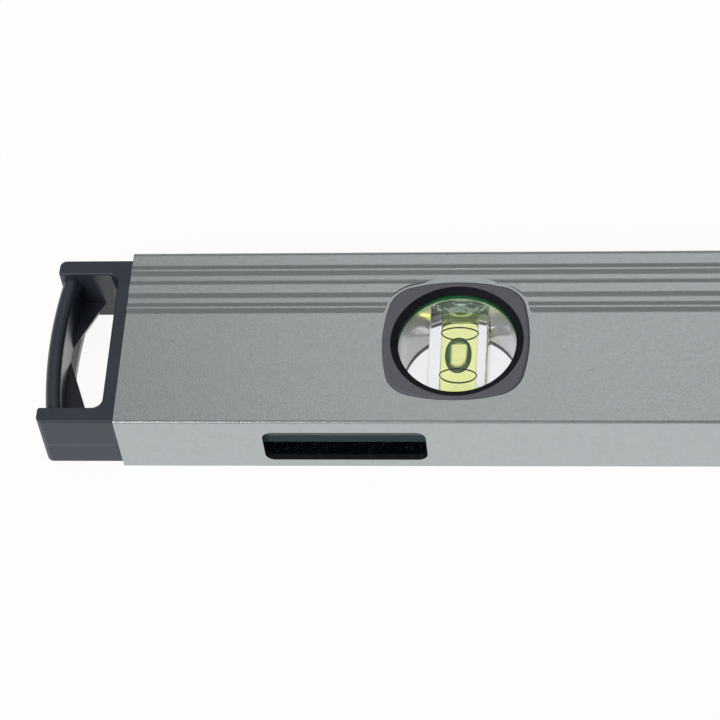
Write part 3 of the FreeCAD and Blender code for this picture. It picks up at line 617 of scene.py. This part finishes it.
# Finishes of clear pieces and ink

FLOW_SIZE = 0.004
FLOW_BUMP = 0.00001
SOLID_ROUGHNESS = 0.3
SOLID_SPECULAR = 0.1
MILK_TONE = 0.95
MILK_SHARE = 0.14
PLUG_EDGE_SPAN = (0.6, 0.9)
PLUG_EDGE_MOST = 0.7
AIR_TINT = (0.93, 0.98, 0.88)
AIR_SHADOW = (0.9, 0.95, 0.85)
STRAIGHT_TINT = (0.99, 1.0, 0.97)
AIR_REFRACTION_SHARE = 0.08
# Painted shade on the bubble's outline
AIR_EDGE_SHADE_SPAN = (0.13, 0.22)
AIR_EDGE_SHADE_MOST = 0.92
LENS_ROUGHNESS = 0.03
INK_PATCH = 0.0008
INK_MOTTLE = 0.2
INK_ROUGHNESS = 0.8


def let_light_in(tree, surface, rgb):
    """A clear piece throws only a faint tinted shadow, so that what lies behind it is lit."""
    shadow = node(tree, "ShaderNodeLightPath").outputs["Is Shadow Ray"]
    clear = node(tree, "ShaderNodeBsdfTransparent", Color=(*rgb, 1.0))
    shown = blended(tree, shadow, surface, clear.outputs[0])
    tree.links.new(shown, tree.nodes["Material Output"].inputs["Surface"])


def clear_plastic(name, rgb, ior, sheen):
    """Polished clear plastic with faint flow marks."""
    mat, tree, shader = material(name)
    polish(tree, shader, rgb, ior, sheen)
    let_light_in(tree, shader.outputs[0], rgb)
    return mat


def polish(tree, shader, rgb, ior, sheen):
    """Make a shader clear and smooth, with a sheen of the given strength."""
    shader.inputs["Base Color"].default_value = (*rgb, 1.0)
    shader.inputs["Roughness"].default_value = 0.0
    shader.inputs["IOR"].default_value = ior
    shader.inputs["Transmission Weight"].default_value = 1.0
    shader.inputs["Specular Tint"].default_value = (sheen, sheen, sheen, 1.0)
    add_bump(tree, shader, fine_noise(tree, FLOW_SIZE, detail=1.0), FLOW_BUMP)


def tinted_solid(tree, rgb):
    """A plain solid shader for glowing edges, the bubble's painted edge shade and milky cores."""
    solid = node(tree, "ShaderNodeBsdfPrincipled", Roughness=SOLID_ROUGHNESS)
    solid.inputs["Base Color"].default_value = (*rgb, 1.0)
    solid.inputs["Specular IOR Level"].default_value = SOLID_SPECULAR
    return solid.outputs[0]


def plug_plastic(settings):
    """Clear plug with a faintly milky core, green where its walls turn away from the eye."""
    mat, tree, shader = material("tinted_plug")
    polish(tree, shader, settings.plug, settings.plug_ratio, 1.0)
    milk = tinted_solid(tree, scaled(settings.plug, MILK_TONE))
    glow = tinted_solid(tree, settings.edge_glow)
    core = blended(tree, MILK_SHARE, shader.outputs[0], milk)
    edge = turned_away(tree, PLUG_EDGE_SPAN, PLUG_EDGE_MOST)
    let_light_in(tree, blended(tree, edge, core, glow), settings.plug)
    return mat


def bubble_surface(settings):
    """Surface between liquid and air, with painted shade: dark green where it turns away from the eye,
    standing in for the dark outline that refraction gives a bubble.
    """
    mat, tree, shader = material("bubble_surface")
    polish(tree, shader, AIR_TINT, settings.liquid_ior, 1.0)
    straight = node(tree, "ShaderNodeBsdfTransparent", Color=(*STRAIGHT_TINT, 1.0))
    core = blended(tree, AIR_REFRACTION_SHARE, straight.outputs[0], shader.outputs[0])
    # Painted shade: a dark green solid shows where the bubble's surface turns away from the eye
    rim = tinted_solid(tree, settings.bubble_rim)
    edge = turned_away(tree, AIR_EDGE_SHADE_SPAN, AIR_EDGE_SHADE_MOST)
    let_light_in(tree, blended(tree, edge, core, rim), AIR_SHADOW)
    return mat


def clear_lens(settings):
    """Thin flat lens: light passes straight through, with a faint grazing sheen."""
    mat, tree, shader = material("clear_lens")
    shader.inputs["Base Color"].default_value = (*settings.acrylic, 1.0)
    shader.inputs["Roughness"].default_value = LENS_ROUGHNESS
    shader.inputs["IOR"].default_value = settings.acrylic_ior
    shader.inputs["Transmission Weight"].default_value = 0.0
    shader.inputs["Specular IOR Level"].default_value = 0.5
    through = node(tree, "ShaderNodeBsdfTransparent", Color=(*settings.acrylic, 1.0))
    gloss = node(tree, "ShaderNodeFresnel", IOR=settings.acrylic_ior)
    shiny = node(tree, "ShaderNodeBsdfGlossy", Roughness=LENS_ROUGHNESS)
    faint = calculated(tree, "MULTIPLY", gloss.outputs[0], settings.sheen)
    sheet = blended(tree, faint, through.outputs[0], shiny.outputs[0])
    tree.links.new(sheet, tree.nodes["Material Output"].inputs["Surface"])
    add_bump(tree, shader, fine_noise(tree, FLOW_SIZE, detail=1.0), FLOW_BUMP)
    return mat


def mark_ink(settings):
    """Dull dark ink with faint uneven cover."""
    mat, tree, shader = material("mark_ink")
    mottled(tree, shader, settings.marks, INK_PATCH, INK_MOTTLE)
    shader.inputs["Roughness"].default_value = INK_ROUGHNESS
    shader.inputs["Specular IOR Level"].default_value = 0.0
    return mat


# Operators

class LEVEL_OT_profile(Operator):
    """Blasted aluminium on the profile"""
    bl_idname = "spirit_level.profile"
    bl_label = "Profile"

    def execute(self, context):
        dress("profile", blasted_aluminium(context.scene.level_metal))
        return {"FINISHED"}


class LEVEL_OT_end_caps(Operator):
    """Black plastic on both end caps"""
    bl_idname = "spirit_level.end_caps"
    bl_label = "End caps"

    def execute(self, context):
        mat = cap_plastic(context.scene.level_plastic)
        for side in SIDES:
            dress(f"end_cap_{side}", mat)
        return {"FINISHED"}


class LEVEL_OT_window_frames(Operator):
    """Satin plastic and dark funnel ring on the window frames"""
    bl_idname = "spirit_level.window_frames"
    bl_label = "Window frames"

    def execute(self, context):
        mat = frame_plastic(context.scene.level_plastic)
        for side in SIDES:
            for face in FACES:
                dress(f"window_frame_{side}_{face}", mat)
        return {"FINISHED"}


class LEVEL_OT_window_lenses(Operator):
    """Clear lenses of the windows"""
    bl_idname = "spirit_level.window_lenses"
    bl_label = "Window lenses"

    def execute(self, context):
        mat = clear_lens(context.scene.level_vial)
        for side in SIDES:
            for face in FACES:
                dress(f"window_lens_{side}_{face}", mat)
        return {"FINISHED"}


class LEVEL_OT_light_tunnels(Operator):
    """Light grey liners behind the windows"""
    bl_idname = "spirit_level.light_tunnels"
    bl_label = "Light tunnels"

    def execute(self, context):
        mat = liner_plastic(context.scene.level_plastic)
        for side in SIDES:
            dress(f"light_tunnel_{side}", mat)
        return {"FINISHED"}


class LEVEL_OT_vial_blocks(Operator):
    """Clear blocks that hold the liquid, with the plugs that close them"""
    bl_idname = "spirit_level.vial_blocks"
    bl_label = "Vial blocks"

    boss_height = 0.72
    boss_tip = 0.55
    cup_floor = 0.56
    bevel_steps = 3
    sharp_angle = 30

    def execute(self, context):
        settings = context.scene.level_vial
        block_mat = clear_plastic(
            "clear_acrylic", settings.acrylic, settings.acrylic_ior, settings.sheen
        )
        plug_mat = plug_plastic(settings)
        for prefix in VIALS:
            block = self.block(prefix, settings)
            block.data.materials.append(block_mat)
            seat(block, prefix, [f"{prefix}_vial_block"])
            plug = self.plug(prefix, settings)
            plug.data.materials.append(plug_mat)
            seat(plug, prefix, [f"{prefix}_vial_plug"])
        return {"FINISHED"}

    def cup(self, prefix, settings, growth):
        """Section of the plug's cup, from the tip of the boss in its floor to the mouth."""
        low, high = plug_box(prefix, settings)
        mouth = (high.y - low.y) / 2 * settings.cup_share
        floor = high.x - (high.x - low.x) * settings.cup_depth
        tip = floor + settings.boss * self.boss_height
        return [
            (tip - growth, 0.0),
            (tip - growth, settings.boss * self.boss_tip - growth),
            (floor - growth, settings.boss - growth),
            (floor - growth, mouth * self.cup_floor + growth),
            (high.x, mouth + growth),
        ]

    def block(self, prefix, settings):
        """A solid block with only the plug's cup cut out, because plug and block fuse to the eye."""
        low, high = local_box(prefix, "vial_block")
        high -= setback(prefix, settings)
        bm = bmesh.new()
        bmesh.ops.create_cube(bm, size=1.0)
        bmesh.ops.scale(bm, vec=high - low, verts=bm.verts)
        bmesh.ops.translate(bm, vec=(high + low) / 2, verts=bm.verts)
        bmesh.ops.bevel(
            bm, geom=list(bm.edges), offset=settings.block_edge, segments=self.bevel_steps,
            profile=0.5, affect="EDGES",
        )
        block = mesh_object(f"{prefix}_clear_block", bm)
        section = self.cup(prefix, settings, 0.0)
        rim, mouth = section[-1]
        beyond = rim + settings.boss
        hole = lathe_bmesh(section + [(beyond, mouth), (beyond, 0.0)], settings.rings)
        boolean_difference(block, mesh_object("cup_cutter", hole))
        shade_by_angle(block, self.sharp_angle)
        return block

    def plug(self, prefix, settings):
        """Flange and stem of the plug, just inside the block's outer faces."""
        gap = settings.wall_gap
        low, high = plug_box(prefix, settings)
        barrel_low, barrel_high = local_box(prefix, "liquid")
        flange = (high.y - low.y) / 2
        stem = (barrel_high.y - barrel_low.y) / 2
        shoulder = high.x - (high.x - low.x) * settings.flange_share
        section = self.cup(prefix, settings, gap)
        rim, mouth = section.pop()
        profile = [
            (low.x + gap, 0.0), (low.x + gap, stem), (shoulder, stem), (shoulder, flange),
            (rim - gap, flange), (rim - gap, mouth), *reversed(section),
        ]
        plug = mesh_object(f"{prefix}_clear_plug", lathe_bmesh(profile, settings.rings))
        shade_by_angle(plug, self.sharp_angle)
        return plug


class LEVEL_OT_vial_liquids(Operator):
    """Tinted liquid inside the blocks"""
    bl_idname = "spirit_level.vial_liquids"
    bl_label = "Vial liquids"

    end_groove = 0.0012
    sharp_angle = 40

    def execute(self, context):
        settings = context.scene.level_vial
        ratio = settings.acrylic_ior / settings.liquid_ior
        mat = clear_plastic("tinted_liquid", settings.liquid, ratio, 1.0)
        for prefix in VIALS:
            low, high = local_box(prefix, "liquid")
            high -= setback(prefix, settings)
            radius = (high.y - low.y) / 2 - settings.wall_gap
            end = high.x - settings.wall_gap
            bm = cylinder_bmesh(low.x, end, self.end_groove, radius, settings.rings)
            # Faces look inwards, because the liquid bends light less than the block round it
            bmesh.ops.reverse_faces(bm, faces=bm.faces)
            liquid = mesh_object(f"{prefix}_clear_liquid", bm)
            shade_by_angle(liquid, self.sharp_angle)
            liquid.data.materials.append(mat)
            seat(liquid, prefix, [f"{prefix}_liquid"])
        return {"FINISHED"}


class LEVEL_OT_vial_bubbles(Operator):
    """Air bubbles that lie against the front of the barrel"""
    bl_idname = "spirit_level.vial_bubbles"
    bl_label = "Bubbles"

    height_share = 1.05
    steps_round = 96
    steps_high = 64

    def execute(self, context):
        settings = context.scene.level_vial
        mat = bubble_surface(settings)
        for prefix in VIALS:
            bubble = self.build(prefix, settings)
            bubble.data.materials.append(mat)
            seat(bubble, prefix, [f"{prefix}_bubble"], f"{prefix}_bubble_body")
        return {"FINISHED"}

    def build(self, prefix, settings):
        """A pill with a rounded outline, cut off by the barrel at its top."""
        low, high = local_box(prefix, "bubble")
        half = (high - low) / 2
        middle = (high + low) / 2
        crown = high.z
        tall = half.z * self.height_share
        bm = bmesh.new()
        bmesh.ops.create_uvsphere(
            bm, u_segments=self.steps_round, v_segments=self.steps_high, radius=1.0
        )
        for vert in bm.verts:
            x, y, z = vert.co
            rim = math.hypot(x, y)
            outline = superellipse(x, y, settings.bubble_outline)
            swell = superellipse(rim, z, settings.bubble_rim_shape)
            point = Vector((
                middle.x + x * outline * swell * half.x,
                y * outline * swell * half.y,
                low.z + tall + z * swell * tall,
            ))
            reach = math.hypot(point.y, point.z)
            if reach > crown:
                point.y *= crown / reach
                point.z *= crown / reach
            vert.co = point
        bmesh.ops.recalc_face_normals(bm, faces=bm.faces)
        bmesh.ops.reverse_faces(bm, faces=bm.faces)
        return mesh_object(f"{prefix}_clear_bubble", bm)


def superellipse(x, y, power):
    """How far a point on a circle moves out to reach a squarer curve of the given power."""
    size = math.hypot(x, y)
    if size < SMALLEST:
        return 1.0
    return 1 / (abs(x / size) ** power + abs(y / size) ** power) ** (1 / power)


class LEVEL_OT_reading_marks(Operator):
    """Dark rings between which the bubble is read"""
    bl_idname = "spirit_level.reading_marks"
    bl_label = "Reading marks"

    def execute(self, context):
        mat = mark_ink(context.scene.level_vial)
        for prefix in VIALS:
            dress(f"{prefix}_reading_marks", mat)
        return {"FINISHED"}


class LEVEL_OT_magnets(Operator):
    """Magnet bars and the carriers round them"""
    bl_idname = "spirit_level.magnets"
    bl_label = "Magnets"

    carrier_roughness = 0.4

    def execute(self, context):
        settings = context.scene.level_plastic
        magnet = coated_magnet(settings)
        carrier = matt_plastic(
            "carrier_plastic", settings.carrier, settings.texture, self.carrier_roughness
        )
        for side in SIDES:
            dress(f"{side}_magnet", magnet)
            dress(f"{side}_magnet_carrier", carrier)
        return {"FINISHED"}


class LEVEL_OT_centre_housing(Operator):
    """Black housing of the centre vial"""
    bl_idname = "spirit_level.centre_housing"
    bl_label = "Centre housing"

    roughness = 0.42

    def execute(self, context):
        settings = context.scene.level_plastic
        mat = matt_plastic("housing_plastic", settings.cap, settings.texture, self.roughness)
        dress("centre_vial_housing", mat)
        return {"FINISHED"}


# Stage

FLOOR_HALF = 4.0
FLOOR_DROP = 0.00005
FLOOR_PATCH = 0.05
FLOOR_MOTTLE = 0.01
FLOOR_ROUGHNESS = 0.9
FLOOR_GLOW = 1.06
FLOOR_GLOW_SHARE = 0.88
BACK_LAMP_PLACE = (0.04, 0.95, 1.34)
BACK_LAMP_SIZE = (0.95, 0.60)
KEY_LAMP_PLACE = (-0.75, -1.05, 1.05)
KEY_LAMP_SIZE = (0.7, 0.7)
LAMP_TARGET = (-0.18, 0.0, 0.01)
CAMERA_PLACE = (-0.1246, -0.4709, 0.6851)
CAMERA_HEADING = 10.43
CAMERA_TILT = 54.63
CAMERA_ROLL = -8.65
SENSOR_WIDTH = 36.0


class LEVEL_OT_stage(Operator):
    """Pale floor, soft lamps and the camera"""
    bl_idname = "spirit_level.stage"
    bl_label = "Stage"

    def execute(self, context):
        settings = context.scene.level_stage
        self.floor(settings)
        self.surroundings(settings)
        self.lamp("back_light", settings.back_power, BACK_LAMP_PLACE, BACK_LAMP_SIZE)
        self.lamp("key_light", settings.key_power, KEY_LAMP_PLACE, KEY_LAMP_SIZE)
        self.camera(settings)
        context.scene.view_settings.view_transform = "Standard"
        return {"FINISHED"}

    def floor(self, settings):
        """Pale floor that looks white where it is seen and lights the level less."""
        bm = bmesh.new()
        bmesh.ops.create_grid(bm, x_segments=1, y_segments=1, size=FLOOR_HALF)
        bmesh.ops.translate(bm, vec=(0, 0, -FLOOR_DROP), verts=bm.verts)
        floor = mesh_object("floor", bm)
        mat, tree, shader = material("pale_floor")
        mottled(tree, shader, settings.floor, FLOOR_PATCH, FLOOR_MOTTLE)
        shader.inputs["Roughness"].default_value = FLOOR_ROUGHNESS
        white = node(tree, "ShaderNodeEmission", Strength=FLOOR_GLOW)
        share = calculated(tree, "MULTIPLY", seen_directly(tree), FLOOR_GLOW_SHARE)
        shown = blended(tree, share, shader.outputs[0], white.outputs[0])
        tree.links.new(shown, tree.nodes["Material Output"].inputs["Surface"])
        floor.data.materials.append(mat)

    def surroundings(self, settings):
        """White sky, dimmer where it lights the level than where the camera sees it."""
        world = bpy.data.worlds.new("soft_surroundings")
        world.use_nodes = True
        tree = world.node_tree
        background = tree.nodes["Background"]
        seen = node(tree, "ShaderNodeLightPath").outputs["Is Camera Ray"]
        strength = remapped(tree, seen, (0.0, 1.0), (settings.sky, 1.0))
        tree.links.new(strength, background.inputs["Strength"])
        background.inputs["Color"].default_value = (1.0, 1.0, 1.0, 1.0)
        bpy.context.scene.world = world

    def lamp(self, name, power, place, extent):
        """Soft rectangular lamp that points at the end of the level."""
        light = bpy.data.lights.new(name, "AREA")
        light.shape = "RECTANGLE"
        light.size, light.size_y = extent
        light.energy = power
        obj = bpy.data.objects.new(name, light)
        obj.location = Vector(LAMP_TARGET) + Vector(place)
        obj.rotation_euler = (-Vector(place)).to_track_quat("-Z", "Y").to_euler()
        bpy.context.scene.collection.objects.link(obj)

    def camera(self, settings):
        """Camera that looks down on the left end of the level."""
        angles = (CAMERA_HEADING, CAMERA_TILT, CAMERA_ROLL)
        heading, tilt, roll = (math.radians(angle) for angle in angles)
        forward = Vector((
            -math.sin(heading) * math.cos(tilt), math.cos(heading) * math.cos(tilt),
            -math.sin(tilt),
        ))
        right = Vector((math.cos(heading), math.sin(heading), 0.0))
        up = right.cross(forward)
        level_right = right * math.cos(roll) + up * math.sin(roll)
        level_up = up * math.cos(roll) - right * math.sin(roll)
        turn = Matrix((level_right, level_up, -forward)).transposed().to_4x4()
        data = bpy.data.cameras.new("camera")
        data.lens = settings.lens
        data.sensor_width = SENSOR_WIDTH
        camera = bpy.data.objects.new("camera", data)
        camera.matrix_world = Matrix.Translation(CAMERA_PLACE) @ turn
        bpy.context.scene.collection.objects.link(camera)
        bpy.context.scene.camera = camera


def seen_directly(tree):
    """1 for rays from the camera, from gloss and through glass."""
    path = node(tree, "ShaderNodeLightPath").outputs
    first = calculated(tree, "MAXIMUM", path["Is Camera Ray"], path["Is Glossy Ray"])
    return calculated(tree, "MAXIMUM", first, path["Is Transmission Ray"])


# Add-on

OPERATORS = (
    LEVEL_OT_profile,
    LEVEL_OT_end_caps,
    LEVEL_OT_window_frames,
    LEVEL_OT_window_lenses,
    LEVEL_OT_light_tunnels,
    LEVEL_OT_vial_blocks,
    LEVEL_OT_vial_liquids,
    LEVEL_OT_vial_bubbles,
    LEVEL_OT_reading_marks,
    LEVEL_OT_magnets,
    LEVEL_OT_centre_housing,
    LEVEL_OT_stage,
)


class LEVEL_PT_sidebar(Panel):
    """Lists the level's pieces"""
    bl_idname = "LEVEL_PT_sidebar"
    bl_label = "Spirit Level"
    bl_space_type = "VIEW_3D"
    bl_region_type = "UI"
    bl_category = "Spirit Level"

    def draw(self, context):
        for operator in OPERATORS:
            self.layout.operator(operator.bl_idname)
        for name in SETTINGS:
            group = getattr(context.scene, name)
            box = self.layout.box()
            for prop in group.bl_rna.properties:
                if prop.identifier not in ("rna_type", "name"):
                    box.prop(group, prop.identifier)


SETTINGS = {
    "level_metal": MetalSettings,
    "level_plastic": PlasticSettings,
    "level_vial": VialSettings,
    "level_stage": StageSettings,
}


def register():
    for group in SETTINGS.values():
        bpy.utils.register_class(group)
    for name, group in SETTINGS.items():
        setattr(bpy.types.Scene, name, PointerProperty(type=group))
    for operator in OPERATORS:
        bpy.utils.register_class(operator)
    bpy.utils.register_class(LEVEL_PT_sidebar)


def unregister():
    bpy.utils.unregister_class(LEVEL_PT_sidebar)
    for operator in reversed(OPERATORS):
        bpy.utils.unregister_class(operator)
    for name, group in SETTINGS.items():
        delattr(bpy.types.Scene, name)
        bpy.utils.unregister_class(group)


def main():
    register()
    for operator in OPERATORS:
        group, name = operator.bl_idname.split(".")
        result = getattr(getattr(bpy.ops, group), name)()
        if result != {"FINISHED"}:
            raise RuntimeError(f"{operator.bl_label} did not finish")


if __name__ == "__main__":
    main()
